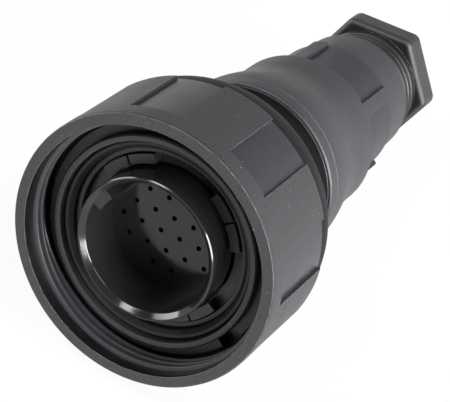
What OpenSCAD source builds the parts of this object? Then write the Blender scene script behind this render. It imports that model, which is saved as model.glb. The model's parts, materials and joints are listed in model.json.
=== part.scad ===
// Sealed circular connector plug with a threaded coupling ring and a cable gland.
// Every piece is drawn along one axis: z runs from the mouth of the coupling
// ring to the hex of the gland nut, x points up and y to the right when the plug
// is seen from its mouth. Angles about that axis start at the top and grow
// clockwise as seen from the mouth. place_lying() then lays the whole plug down.

/* [Contacts] */
// Distance between neighbouring contacts
contact_pitch = 3.52; // [3.4:0.02:4]
// Turn of the contact rows from the top, in degrees
row_turn = 91.8; // [80:0.1:100]
// Diameter of the pin holes in the contact face
pin_hole_d = 0.9; // [0.7:0.05:1]
// Diameter of the socket end of a contact
socket_d = 1.7; // [1.5:0.05:1.9]
// Depth of the socket for the pin
socket_l = 7; // [4:0.25:8]
// Diameter of the stop collar of a contact
stop_d = 2.4; // [2.2:0.05:2.5]
// Length of the stop collar of a contact
stop_l = 1.5; // [1:0.1:2]
// Diameter of the crimp barrel
crimp_d = 1.9; // [1.7:0.05:2]
// Length of crimp barrel that stands out behind the retainer
crimp_out = 3.7; // [2:0.1:6]
// Diameter of the wire hole in the crimp barrel
wire_hole_d = 1.2; // [0.8:0.05:1.3]
// Depth of the wire hole
wire_hole_l = 4.5; // [3:0.25:5]
// Thickness of the contact retainer
retainer_t = 1.8; // [1.2:0.1:2.4]
// Wall of the carrier around the retainer
retainer_wall = 1.1; // [0.8:0.1:1.4]

/* [Contact carrier] */
// Distance from the outermost contacts to the bore of the plug tube
contact_edge = 2.04; // [1.8:0.02:3]
// Wall of the plug tube
tube_wall = 1.2; // [0.8:0.1:2]
// Distance from the mouth to the rim of the tube
tube_front = 1.2; // [0.6:0.1:2.4]
// Distance from the mouth to the contact face
face_at = 10.2; // [9:0.1:11]
// Distance from the mouth to the back of the carrier
carrier_rear = 25.8; // [25:0.1:28]
// Step from the carrier's flange down to its body
carrier_step = 1.4; // [1:0.1:2]
// Thickness of the carrier's flange
carrier_flange_t = 2.2; // [1.5:0.1:3]
// Thickness of the face in front of the contact bores
face_web = 0.9; // [0.6:0.1:1.4]
// Height of the polarising key above the bore of the tube
key_h = 1.5; // [0.8:0.1:2]
// Width of the key in degrees
key_angle = 19; // [8:1:30]
// Turn of the key from the top, in degrees
key_turn = -62.2; // [-90:0.1:-30]
// Distance from the tube's rim to the front of the key
key_sink = 0.8; // [0.3:0.1:2]

/* [Lock ring] */
// Room between the plug tube and the lock ring
lock_room = 0.3; // [0.2:0.05:0.6]
// Width of the lock ring between its edges
lock_w = 2; // [1.8:0.1:3]
// Distance from the mouth to the front face of the lock ring
lock_front = 8; // [7.5:0.1:8.4]
// Thickness of the lock ring
lock_t = 1.95; // [1:0.05:2.4]
// Number of dogs on the lock ring
dog_count = 4; // [2:1:6]
// Height of each dog
dog_h = 2; // [1:0.1:2.5]
// Step from the lock ring's two edges in to the sides of each dog
dog_step = 0.2; // [0.15:0.05:0.4]
// Width of each dog in degrees
dog_angle = 41; // [20:1:50]
// Turn of the first dog from the top, in degrees
dog_turn = -36.2; // [-45:0.1:45]
// Width of the slot across the top of each dog
dog_slot = 0.4; // [0.2:0.05:0.8]

/* [Mating seal] */
// Wall between the lock ring and the mating seal
lip_wall = 0.8; // [0.6:0.1:1.5]
// Width of the mating seal between its edges
seal_w = 1.6; // [1.2:0.1:2]
// Distance from the rim's face down to the crown of the seal
seal_sink = 1; // [0.5:0.1:1.5]
// Length of the seal along the axis
seal_l = 3; // [2:0.1:4]

/* [Front body] */
// Wall of the front rim around the mating seal
rim_wall = 1.2; // [1.1:0.1:2]
// Distance from the mouth to the front rim
rim_front = 3.9; // [3:0.1:4.5]
// Width of the front rim in front of the split ring
rim_l = 1.85; // [1.2:0.05:2.5]
// Width of the journal that the coupling ring turns on
journal_l = 2.5; // [1.5:0.1:4]
// Height of the flange above the journal
flange_h = 1.5; // [1:0.1:2.5]
// Thickness of the flange behind the journal
flange_t = 2; // [1:0.1:4]
// Wall of the neck around the contact carrier
neck_wall = 2.9; // [2:0.1:4]
// Distance from the mouth to the collar
collar_front = 34.6; // [30:0.2:40]
// Width of the collar
collar_l = 2.5; // [1.5:0.1:5]
// Height of the collar above the neck
collar_h = 0.7; // [0.4:0.1:2]
// Length of the spigot behind the collar
spigot_l = 8.5; // [6:0.25:11]
// Wall of the spigot inside the groove of the shell seal
spigot_wall = 1; // [0.8:0.1:1.5]

/* [Split ring] */
// Width of the split ring between its edges
split_w = 2.75; // [2:0.05:3.5]
// Thickness of the split ring
split_t = 2; // [1:0.1:3]
// Depth of the groove that holds the split ring
split_groove = 0.9; // [0.5:0.1:0.9]
// Opening between the ends of the split ring, in degrees
split_gap = 12; // [6:1:20]
// Turn of that opening from the top, in degrees
split_turn = 125.3; // [90:0.1:160]

/* [Coupling ring] */
// Room between the split ring and the crests of the coupling thread
thread_room = 0.3; // [0.2:0.05:0.8]
// Depth of the coupling thread
thread_depth = 0.65; // [0.3:0.05:1]
// Length of the lead-in in front of the thread
lead_in_l = 0.5; // [0.2:0.1:1]
// Wall between the root of the thread and the lands of the grip
ring_wall = 2.05; // [1.8:0.05:4]
// Length of the grip with its lands and bays
ring_grip_l = 18.45; // [14:0.25:20]
// Length of the rounded shoulder behind the grip
shoulder_l = 6.05; // [4:0.25:8]
// Chamfer at both ends of the grip
ring_chamfer = 0.5; // [0.2:0.1:0.6]
// Wall of the skirt at its rear edge
skirt_edge = 0.64; // [0.4:0.05:1.2]
// Radial room between the skirt and the body's flange
skirt_room = 0.3; // [0.2:0.05:0.5]
// Number of bays sunk into the grip
bay_count = 8; // [4:1:10]
// Depth of each bay
bay_depth = 0.6; // [0.2:0.1:0.9]
// Width of each bay in degrees
bay_angle = 22; // [10:1:30]
// Distance from the mouth to the front wall of each bay
bay_front = 3.5; // [2:0.25:6]
// Turn of the first bay from the top, in degrees
bay_turn = -10.7; // [-22:0.1:22]

/* [Back shell] */
// Step from the body's collar down to the barrel
collar_step = 0.1; // [0.05:0.05:0.5]
// Height of the barrel's flared front above its rear
flare_h = 2.1; // [1:0.1:3]
// Length of the barrel
barrel_l = 20.2; // [17:0.2:24]
// Length of the flared front part of the barrel
flare_l = 14.7; // [11:0.1:18]
// Step from the barrel down to the lands of the grip behind it
grip_step = 1.35; // [0.9:0.05:2]
// Length of that grip
grip_l = 12.5; // [9:0.5:16]
// Number of bays in that grip
grip_bays = 5; // [3:1:6]
// Depth of the bays in that grip
grip_bay_depth = 0.8; // [0.3:0.1:1]
// Width of the bays in that grip, in degrees
grip_bay_angle = 60.5; // [30:0.5:66]
// Turn of the first of those bays from the top, in degrees
grip_bay_turn = 15.55; // [-36:0.05:36]
// Step from the grip's lands down to the sleeve that takes the gland nut
sleeve_step = 1.3; // [1.1:0.05:2]
// Length of that sleeve
sleeve_l = 10; // [8:0.5:14]
// Draft of the sleeve over its length
sleeve_draft = 0.35; // [0.1:0.05:0.6]
// Wall of the sleeve at its rear
sleeve_wall = 1.4; // [1.1:0.1:3]
// Radius of the sleeve's rounded end
sleeve_round = 0.9; // [0.4:0.1:1]
// Wall of the barrel
barrel_wall = 2.4; // [1.6:0.1:3]
// Step from the gland bore down to the wire hole in the web
wire_way_step = 1.9; // [1:0.1:3]
// Thickness of the web around the wire hole
web_t = 1.8; // [1:0.1:3]
// Length of the cone that closes the fingers of the gland cage
cone_l = 2.6; // [1:0.1:4]

/* [Gland] */
// Length of thread that shows between the sleeve and the hex
gland_out = 6.9; // [4:0.1:8]
// Length of the gland nut's threaded shank
shank_l = 12.7; // [10:0.1:14]
// Wall of the shank between its mean thread diameter and the cable entry
nut_wall = 2.8; // [2:0.1:3.5]
// Height of the hex's flats above the mean thread diameter
hex_h = 0.9; // [0.7:0.1:3]
// Height of the hex's rounded corners above its flats
hex_corner_h = 1.4; // [1:0.1:1.6]
// Thickness of the hex
hex_t = 5.3; // [3:0.1:8]
// Length of the gland cage
cage_l = 9; // [7:0.5:10]
// Thickness of the cage's closed end
cage_base_t = 2; // [1.2:0.1:3]
// Radial room between the cage's hole and the cable entry
cage_room = 0.4; // [0.2:0.1:0.8]
// Wall of the cage's fingers
finger_wall = 1.6; // [1:0.1:2]
// Number of fingers
finger_count = 8; // [4:1:12]
// Width of the slots between the fingers
finger_slot = 1.2; // [0.6:0.1:2]
// Wall of the gland seal
gland_seal_wall = 2.35; // [1.5:0.05:4]

/* [Seals] */
// Thickness of the carrier seal's cord
carrier_seal_t = 1.2; // [0.8:0.1:1.5]
// Thickness of the shell seal's cord
shell_seal_t = 1.2; // [0.8:0.1:1.5]

/* [Fits] */
// Radial play of a piece that turns or slides in another
running_fit = 0.1; // [0.03:0.01:0.1]
// Play along the axis between a turning piece and its stop
end_fit = 0.15; // [0.05:0.05:0.3]
// Radial play between pieces that are put together once
seat_fit = 0.05; // [0.02:0.01:0.1]

/* [Hidden] */
$fn = 96;
past = 1;

// Rows of contacts: place of each row in row pitches from the axis, and its count
rows = [[-8/3, 3], [-5/3, 4], [-2/3, 5], [1/3, 6], [4/3, 5], [7/3, 2]];
row_pitch = contact_pitch * sqrt(3) / 2;
contact_places = [
    for (row = rows)
        for (k = [0 : row[1] - 1])
            [row[0] * row_pitch, (k - (row[1] - 1) / 2) * contact_pitch]
];
contact_reach = max([for (place = contact_places) norm(place)]);

// Radii from the contacts out to the coupling ring
tube_bore_r = contact_reach + contact_edge;
tube_r = tube_bore_r + tube_wall;
lock_bore_r = tube_r + lock_room;
lock_r = lock_bore_r + lock_w;
lock_seat_r = lock_r + seat_fit;
carrier_r = lock_r - carrier_step;
carrier_seat_r = carrier_r + running_fit;
lip_r = lock_seat_r + lip_wall;
seal_inner_r = lip_r + seat_fit;
seal_floor_r = seal_inner_r + seal_w;
rim_r = seal_floor_r + rim_wall;
flange_r = rim_r + flange_h;
split_inner_r = rim_r - split_groove + seat_fit;
split_r = split_inner_r + split_w;
thread_root_r = split_r + thread_room + thread_depth;
ring_r = thread_root_r + ring_wall;
ring_stop_r = rim_r + running_fit;
skirt_bore_r = flange_r + skirt_room;
bay_floor_r = ring_r - bay_depth;
shoulder_top_r = bay_floor_r - 0.05;
shoulder_drop = shoulder_top_r - skirt_bore_r - skirt_edge;
shoulder_r = (pow(shoulder_l, 2) + pow(shoulder_drop, 2)) / (2 * shoulder_drop);

// Radii from the neck in to the cable entry
neck_r = carrier_seat_r + neck_wall;
collar_r = neck_r + collar_h;
barrel_front_r = collar_r - collar_step;
barrel_rear_r = barrel_front_r - flare_h;
grip_r = barrel_rear_r - grip_step;
sleeve_r = grip_r - sleeve_step;
sleeve_rear_r = sleeve_r - sleeve_draft;
gland_bore_r = sleeve_rear_r - sleeve_wall;
gland_r = gland_bore_r - running_fit;
wire_way_r = gland_bore_r - wire_way_step;
cable_bore_r = gland_r - nut_wall;
hex_flat_r = gland_r + hex_h;
hex_corner_r = hex_flat_r + hex_corner_h;
shell_bore_r = barrel_front_r - barrel_wall;
spigot_r = shell_bore_r - seat_fit;
spigot_bore_r = spigot_r - shell_seal_t - spigot_wall;
socket_bore_r = socket_d / 2 + running_fit;
stop_bore_r = stop_d / 2 + running_fit;
retainer_r = carrier_r - retainer_wall - seat_fit;

// Stations of the front body along the axis
split_front = rim_front + rim_l;
journal_front = split_front + split_t + seat_fit;
flange_front = journal_front + journal_l;
flange_rear = flange_front + flange_t;
collar_rear = collar_front + collar_l;
spigot_rear = collar_rear + spigot_l;
seal_crown = rim_front + seal_sink;
seal_rear = seal_crown + seal_l;
lip_front = lock_front - dog_h + 0.4;

// Stations of the carrier and what holds it
lock_rear = lock_front + lock_t;
carrier_flange_front = lock_rear + seat_fit;
carrier_flange_rear = carrier_flange_front + carrier_flange_t;
carrier_seat = carrier_flange_rear + carrier_seal_t;
retainer_front = carrier_rear - retainer_t;
stop_front = retainer_front - stop_l - seat_fit;

// Stations of the coupling ring
ring_l = ring_grip_l + shoulder_l;
ring_stop_front = journal_front + end_fit;
ring_stop_rear = flange_front - end_fit;

// Stations of the back shell and gland
shell_front = collar_rear + seat_fit;
barrel_rear = collar_rear + barrel_l;
grip_rear = barrel_rear + grip_l;
sleeve_rear = grip_rear + sleeve_l;
web_rear = barrel_rear + web_t / 2;
web_front = web_rear - web_t;
hex_front = sleeve_rear + gland_out;
hex_rear = hex_front + hex_t;
shank_front = hex_front - shank_l;
cage_rear = shank_front - seat_fit;
cage_front = cage_rear - cage_l;
cage_base_front = cage_rear - cage_base_t;

// The plug lies on the edge of the coupling ring's grip and on one flat of the hex
rest_z = ring_grip_l - ring_chamfer;
droop = atan((ring_r - hex_flat_r) / (hex_rear - rest_z));
mouth_height = rest_z * sin(droop) + ring_r * cos(droop);
front_reach = (ring_r - ring_chamfer) * sin(droop);
rear_reach = hex_rear * cos(droop) + hex_flat_r * sin(droop);
mouth_back = -(rear_reach - front_reach) / 2;

// Lays a piece drawn along z down on the ground, mouth to the front
module place_lying() {
    translate([0, mouth_back, mouth_height])
        rotate([-90 - droop, 0, 0])
            rotate([0, 0, -90])
                children();
}

// Solid of revolution from [radius, distance from the mouth] points
module turned(points) {
    rotate_extrude()
        polygon(points);
}

// Part of a tube between two radii and two stations, centred on one turn
module sector(inner_r, outer_r, front, rear, angle, turn) {
    rotate([0, 0, turn - angle / 2])
        rotate_extrude(angle = angle)
            polygon([[inner_r, front], [outer_r, front], [outer_r, rear], [inner_r, rear]]);
}

// Straight drill from one station to another
module drill(r, front, rear) {
    translate([0, 0, front])
        cylinder(r = r, h = rear - front);
}

// Copies a child to every contact place
module at_contact(place) {
    rotate([0, 0, row_turn])
        translate([place[1], place[0], 0])
            children();
}

// Rounded shoulder of the coupling ring, as points from the grip to the rear
function shoulder(steps = 10) = [
    for (k = [0 : steps])
        let (along = shoulder_l * k / steps)
            [shoulder_top_r - shoulder_r + sqrt(pow(shoulder_r, 2) - pow(along, 2)),
             ring_grip_l + along]
];

module coupling_ring() {
    color("#2b2c2e") difference() {
        turned(concat(
            [
                [thread_root_r + 0.1, 0],
                [ring_r - ring_chamfer, 0],
                [ring_r, ring_chamfer],
                [ring_r, ring_grip_l - ring_chamfer],
                [max(bay_floor_r, ring_r - ring_chamfer), ring_grip_l]
            ],
            shoulder(),
            [
                [skirt_bore_r, ring_l],
                [skirt_bore_r, ring_stop_rear],
                [ring_stop_r, ring_stop_rear],
                [ring_stop_r, ring_stop_front],
                [thread_root_r, ring_stop_front],
                [thread_root_r, lead_in_l]
            ]
        ));
        for (k = [0 : bay_count - 1])
            sector(bay_floor_r, ring_r + past, bay_front, ring_grip_l + past,
                bay_angle, bay_turn + k * 360 / bay_count);
    }
}

module split_ring() {
    color("#232426") difference() {
        turned([
            [split_inner_r, split_front + seat_fit / 2],
            [split_r - 0.2, split_front + seat_fit / 2],
            [split_r, split_front + seat_fit / 2 + 0.2],
            [split_r, split_front + split_t],
            [split_inner_r, split_front + split_t]
        ]);
        sector(split_inner_r - past, split_r + past, split_front - past,
            split_front + split_t + past, split_gap, split_turn);
    }
}

module front_body() {
    color("#2b2c2e") difference() {
        turned([
            [seal_floor_r, rim_front + 0.2],
            [seal_floor_r + 0.2, rim_front],
            [rim_r - 0.3, rim_front],
            [rim_r, rim_front + 0.3],
            [rim_r, split_front],
            [rim_r - split_groove, split_front],
            [rim_r - split_groove, journal_front],
            [rim_r, journal_front],
            [rim_r, flange_front],
            [flange_r, flange_front],
            [flange_r, flange_rear],
            [neck_r + 1, flange_rear + 0.3],
            [neck_r, flange_rear + 1.3],
            [neck_r, collar_front],
            [collar_r - 0.3, collar_front],
            [collar_r, collar_front + 0.3],
            [collar_r, collar_rear],
            [spigot_r - shell_seal_t, collar_rear],
            [spigot_r - shell_seal_t, collar_rear + shell_seal_t * 1.5],
            [spigot_r, collar_rear + shell_seal_t * 1.5],
            [spigot_r, spigot_rear - 0.4],
            [spigot_r - 0.4, spigot_rear],
            [spigot_bore_r, spigot_rear],
            [spigot_bore_r, collar_front],
            [carrier_seat_r, carrier_rear + 1],
            [carrier_seat_r, carrier_seat],
            [lock_seat_r, carrier_seat],
            [lock_seat_r, lip_front],
            [lip_r, lip_front],
            [lip_r, seal_rear + seat_fit],
            [seal_floor_r, seal_rear + seat_fit]
        ]);
    }
}

module mating_seal() {
    color("#161617")
        turned([
            [seal_inner_r, seal_rear],
            [seal_inner_r, seal_crown + seal_w / 2],
            [seal_inner_r + seal_w / 2, seal_crown],
            [seal_inner_r + seal_w * 0.8, seal_crown],
            [seal_floor_r - seat_fit, seal_crown + seal_w * 0.25],
            [seal_floor_r - seat_fit, seal_rear]
        ]);
}

module contact_carrier() {
    color("#101011") union() {
        difference() {
            turned([
                [0, face_at],
                [tube_bore_r, face_at],
                [tube_bore_r, tube_front + 1.1],
                [tube_bore_r + 0.2, tube_front + 0.9],
                [tube_bore_r + tube_wall * 0.45, tube_front],
                [tube_r - 0.2, tube_front],
                [tube_r, tube_front + 0.2],
                [tube_r, carrier_flange_front],
                [lock_r - seat_fit, carrier_flange_front],
                [lock_r - seat_fit, carrier_flange_rear],
                [carrier_r, carrier_flange_rear],
                [carrier_r, carrier_rear],
                [retainer_r + seat_fit, carrier_rear],
                [retainer_r + seat_fit, retainer_front],
                [0, retainer_front]
            ]);
            for (place = contact_places)
                at_contact(place) {
                    drill(pin_hole_d / 2, face_at - past, face_at + face_web + past);
                    drill(socket_bore_r, face_at + face_web, retainer_front + past);
                    drill(stop_bore_r, stop_front - seat_fit, retainer_front + past);
                }
        }
        sector(tube_bore_r - key_h, tube_bore_r + tube_wall / 2, tube_front + key_sink,
            face_at + 0.2, key_angle, key_turn);
    }
}

module carrier_lock_ring() {
    color("#151516") difference() {
        union() {
            turned([
                [lock_bore_r, lock_front],
                [lock_r - 0.1, lock_front],
                [lock_r, lock_front + 0.1],
                [lock_r, lock_rear],
                [lock_bore_r, lock_rear]
            ]);
            for (k = [0 : dog_count - 1])
                sector(lock_bore_r + dog_step, lock_r - dog_step, lock_front - dog_h,
                    lock_front + lock_t / 2, dog_angle, dog_turn + k * 360 / dog_count);
        }
        for (k = [0 : dog_count - 1])
            rotate([0, 0, dog_turn + k * 360 / dog_count])
                translate([lock_bore_r - past, -dog_slot / 2, lock_front - dog_h - past])
                    cube([lock_w + 2 * past, dog_slot, past + dog_h * 0.4]);
    }
}

module carrier_seal() {
    color("#1c1c1d")
        turned([
            [carrier_seat_r + seat_fit, carrier_flange_rear + seat_fit],
            [lock_seat_r - seat_fit, carrier_flange_rear + seat_fit],
            [lock_seat_r - seat_fit, carrier_seat - seat_fit],
            [carrier_seat_r + seat_fit, carrier_seat - seat_fit]
        ]);
}

module contact_retainer() {
    color("#1d1d1f") difference() {
        turned([
            [0, retainer_front + seat_fit],
            [retainer_r, retainer_front + seat_fit],
            [retainer_r, carrier_rear - 0.2],
            [retainer_r - 0.2, carrier_rear],
            [0, carrier_rear]
        ]);
        for (place = contact_places)
            at_contact(place)
                drill(crimp_d / 2 + running_fit, retainer_front - past, carrier_rear + past);
    }
}

module contact(k) {
    socket_front = face_at + face_web + seat_fit;
    crimp_rear = carrier_rear + crimp_out;
    color("#c9a24b")
        at_contact(contact_places[k - 1])
            turned([
                [pin_hole_d / 2, socket_front],
                [socket_d / 2, socket_front],
                [socket_d / 2, stop_front],
                [stop_d / 2, stop_front],
                [stop_d / 2, stop_front + stop_l],
                [crimp_d / 2, stop_front + stop_l],
                [crimp_d / 2, crimp_rear],
                [wire_hole_d / 2, crimp_rear],
                [wire_hole_d / 2, crimp_rear - wire_hole_l],
                [0, crimp_rear - wire_hole_l],
                [0, socket_front + socket_l],
                [pin_hole_d / 2, socket_front + socket_l]
            ]);
}

// Outline of the barrel's flared front, which eases into its straight rear
function flare(steps = 12) = [
    for (k = [0 : steps])
        let (t = k / steps)
            [barrel_rear_r + flare_h * (1 + cos(180 * t)) / 2,
             shell_front + 0.2 + (flare_l - 0.2) * t]
];

module back_shell() {
    color("#303133") difference() {
        turned(concat(
            [
                [shell_bore_r, shell_front],
                [barrel_front_r - 0.2, shell_front]
            ],
            flare(),
            [
                [barrel_rear_r, barrel_rear - 0.8],
                [barrel_rear_r - 0.25, barrel_rear - 0.25],
                [barrel_rear_r - 0.8, barrel_rear],
                [grip_r, barrel_rear],
                [grip_r, grip_rear - 0.4],
                [grip_r - 0.4, grip_rear],
                [sleeve_r, grip_rear],
                [sleeve_rear_r, sleeve_rear - sleeve_round],
                [sleeve_rear_r - sleeve_round * 0.3, sleeve_rear - sleeve_round * 0.3],
                [sleeve_rear_r - sleeve_round, sleeve_rear],
                [gland_bore_r, sleeve_rear],
                [gland_bore_r, web_rear + cone_l],
                [wire_way_r, web_rear],
                [wire_way_r, web_front],
                [barrel_rear_r - barrel_wall, web_front - 1],
                [barrel_rear_r - barrel_wall, spigot_rear + 5],
                [shell_bore_r, spigot_rear + 0.5]
            ]
        ));
        for (k = [0 : grip_bays - 1])
            sector(grip_r - grip_bay_depth, grip_r + past, barrel_rear,
                grip_rear + past, grip_bay_angle, grip_bay_turn + k * 360 / grip_bays);
    }
}

module shell_seal() {
    color("#1c1c1d")
        turned([
            [spigot_r - shell_seal_t + seat_fit, collar_rear + seat_fit],
            [spigot_r - seat_fit, collar_rear + seat_fit],
            [spigot_r - seat_fit, collar_rear + shell_seal_t * 1.5 - seat_fit],
            [spigot_r - shell_seal_t + seat_fit, collar_rear + shell_seal_t * 1.5 - seat_fit]
        ]);
}

module gland_cage() {
    outer_r = gland_r;
    color("#3a3b3d") difference() {
        turned([
            [outer_r - finger_wall, cage_front],
            [outer_r - 0.5, cage_front],
            [outer_r, cage_front + 0.8],
            [outer_r, cage_rear],
            [cable_bore_r + cage_room, cage_rear],
            [cable_bore_r + cage_room, cage_base_front],
            [outer_r - finger_wall, cage_base_front]
        ]);
        for (k = [0 : finger_count - 1])
            rotate([0, 0, k * 360 / finger_count])
                translate([0, -finger_slot / 2, cage_front - past])
                    cube([outer_r + past, finger_slot, cage_l - cage_base_t + past - 1]);
    }
}

module gland_seal() {
    outer_r = gland_r - finger_wall - seat_fit;
    inner_r = outer_r - gland_seal_wall;
    color("#1c1c1d")
        turned([
            [inner_r, cage_front + 1],
            [inner_r + 0.8, cage_front + 0.3],
            [outer_r - 0.6, cage_front + 0.3],
            [outer_r, cage_front + 1.2],
            [outer_r, cage_base_front - seat_fit],
            [inner_r, cage_base_front - seat_fit]
        ]);
}

module gland_nut() {
    edge = 0.4;
    color("#2b2c2e") difference() {
        union() {
            turned([
                [0, shank_front],
                [gland_r - 0.5, shank_front],
                [gland_r, shank_front + 0.5],
                [gland_r, hex_front + past],
                [0, hex_front + past]
            ]);
            intersection() {
                translate([0, 0, hex_front])
                    rotate([0, 0, 30])
                        cylinder(r = hex_flat_r / cos(30), h = hex_t, $fn = 6);
                turned([
                    [0, hex_front],
                    [hex_corner_r - edge, hex_front],
                    [hex_corner_r, hex_front + edge],
                    [hex_corner_r, hex_rear - edge],
                    [hex_corner_r - edge, hex_rear],
                    [0, hex_rear]
                ]);
            }
        }
        drill(cable_bore_r, shank_front - past, hex_rear + past);
    }
}

place_lying() coupling_ring();
place_lying() split_ring();
place_lying() front_body();
place_lying() mating_seal();
place_lying() contact_carrier();
place_lying() carrier_lock_ring();
place_lying() carrier_seal();
place_lying() contact_retainer();
place_lying() back_shell();
place_lying() shell_seal();
place_lying() gland_cage();
place_lying() gland_seal();
place_lying() gland_nut();
for (k = [1 : len(contact_places)])
    place_lying() contact(k);
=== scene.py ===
"""Looks of a sealed circular connector plug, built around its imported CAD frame.

Turned pieces are drawn in millimetres along the plug's own axis, with x up, y to the right as seen
from the mouth and z from the mouth to the gland nut. A finished piece is then laid into the frame.
"""

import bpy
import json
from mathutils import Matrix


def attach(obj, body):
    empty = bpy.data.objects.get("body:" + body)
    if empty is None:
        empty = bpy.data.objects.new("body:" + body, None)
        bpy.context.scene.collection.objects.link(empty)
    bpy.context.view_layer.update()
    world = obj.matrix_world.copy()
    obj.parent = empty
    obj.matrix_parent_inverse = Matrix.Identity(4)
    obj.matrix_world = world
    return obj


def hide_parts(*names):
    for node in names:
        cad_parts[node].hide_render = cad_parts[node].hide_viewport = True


bl_info = {
    "name": "Circular connector plug",
    "version": (1, 0, 0),
    "blender": (4, 5, 0),
    "location": "3D View > Sidebar > Plug",
    "description": "Dresses a sealed circular connector plug with moulded nylon, threads and seals",
    "category": "Add Mesh",
}

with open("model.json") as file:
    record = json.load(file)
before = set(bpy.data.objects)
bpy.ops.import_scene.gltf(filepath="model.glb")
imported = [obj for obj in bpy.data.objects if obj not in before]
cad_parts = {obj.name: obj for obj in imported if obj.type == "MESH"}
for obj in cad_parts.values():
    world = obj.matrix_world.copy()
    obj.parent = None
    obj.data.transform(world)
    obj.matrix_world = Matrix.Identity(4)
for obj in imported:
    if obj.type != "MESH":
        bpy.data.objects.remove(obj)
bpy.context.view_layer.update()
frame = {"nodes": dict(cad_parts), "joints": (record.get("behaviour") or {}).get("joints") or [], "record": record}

import json
import math

import bpy
from bpy.props import FloatProperty, FloatVectorProperty, IntProperty, PointerProperty
from bpy.types import Operator, Panel, PropertyGroup
from mathutils import Matrix, Vector

MM = 0.001

# The plug's own axis, from the mouth of the coupling ring to the gland nut, as the frame has it
RING_JOINT = next(j for j in frame["joints"] if j["name"] == "coupling_ring_turn")
MOUTH_MOUNT = next(m for m in frame["record"]["mounts"] if m["name"] == "coupling_interface")
AXIS = Vector(RING_JOINT["axis"]).normalized()
MOUTH = Vector(MOUTH_MOUNT["pos_m"])
RIGHT = Vector((1, 0, 0))
UP = RIGHT.cross(AXIS).normalized()
TURN_TO_FRAME = Matrix((UP, RIGHT, AXIS)).transposed().to_4x4()
TO_FRAME = Matrix.Translation(MOUTH) @ TURN_TO_FRAME @ Matrix.Scale(MM, 4)

# The picture, and where the centre of the mouth falls in it
PICTURE_WIDTH = 450
PICTURE_HEIGHT = 402
LENS_PIXELS = 1987.6
SENSOR_MM = 36
MOUTH_PIXEL = (139.9, 253.5)
MOUTH_DEPTH = 0.30657

# Faceting of turned pieces, and how far a cutter or a buried edge runs on past a face
FULL_TURN = 216
PAST = 1.0
# Clearance between fitted pieces, and how near to a size a face lies when a patch takes it
FIT = 0.05
NEAR = 0.1
# The sharpest angles that stay flat and smooth, and how close corners lie when they are one
EDGE_ANGLE = math.radians(28)
SMOOTH_ANGLE = math.radians(35)
WELD = 0.001
# Threads: half widths of root and crest as shares of the pitch, depth of the root in the wall, steps a
# turn and rounding
ROOT_SHARE = 0.34
CREST_SHARE = 0.16
THREAD_BURY = 0.06
THREAD_STEPS = 120
THREAD_ROUND = 0.08

# Real sizes of the patterns: flow marks, gaps between specks of dust, and the broken stretches of painted
# highlight along edges
FLOW_MM = 6.0
DUST_MM = 1.5
DUST_COLOUR = "#b4b3b0"
HIGHLIGHT_BREAK_MM = 1.1

# The studio: a floor that shows white, a white sweep around it for reflections, and a dim room above
FLOOR_M = 6
FLOOR_COLOUR = "#f4f4f4"
FLOOR_SHOWS_WHITE = 0.9
SWEEP_TOP = (0.15, 0.55)
ROOM_LEVEL = 0.06
LAMP_AIM = (0, -0.02, 0.02)
# Soft lamps: place in metres, width, height and watts
LAMPS = {
    "right": ((0.6, -0.25, 0.15), 0.35, 0.35, 10.4),
    "left": ((-0.6, -0.1, 0.3), 0.35, 0.35, 3.2),
    "top right": ((0.45, -0.05, 0.55), 0.35, 0.35, 3.0),
    "strip over the mouth": ((-0.224, -0.29, 0.63), 0.34, 0.12, 1.8),
}

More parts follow.
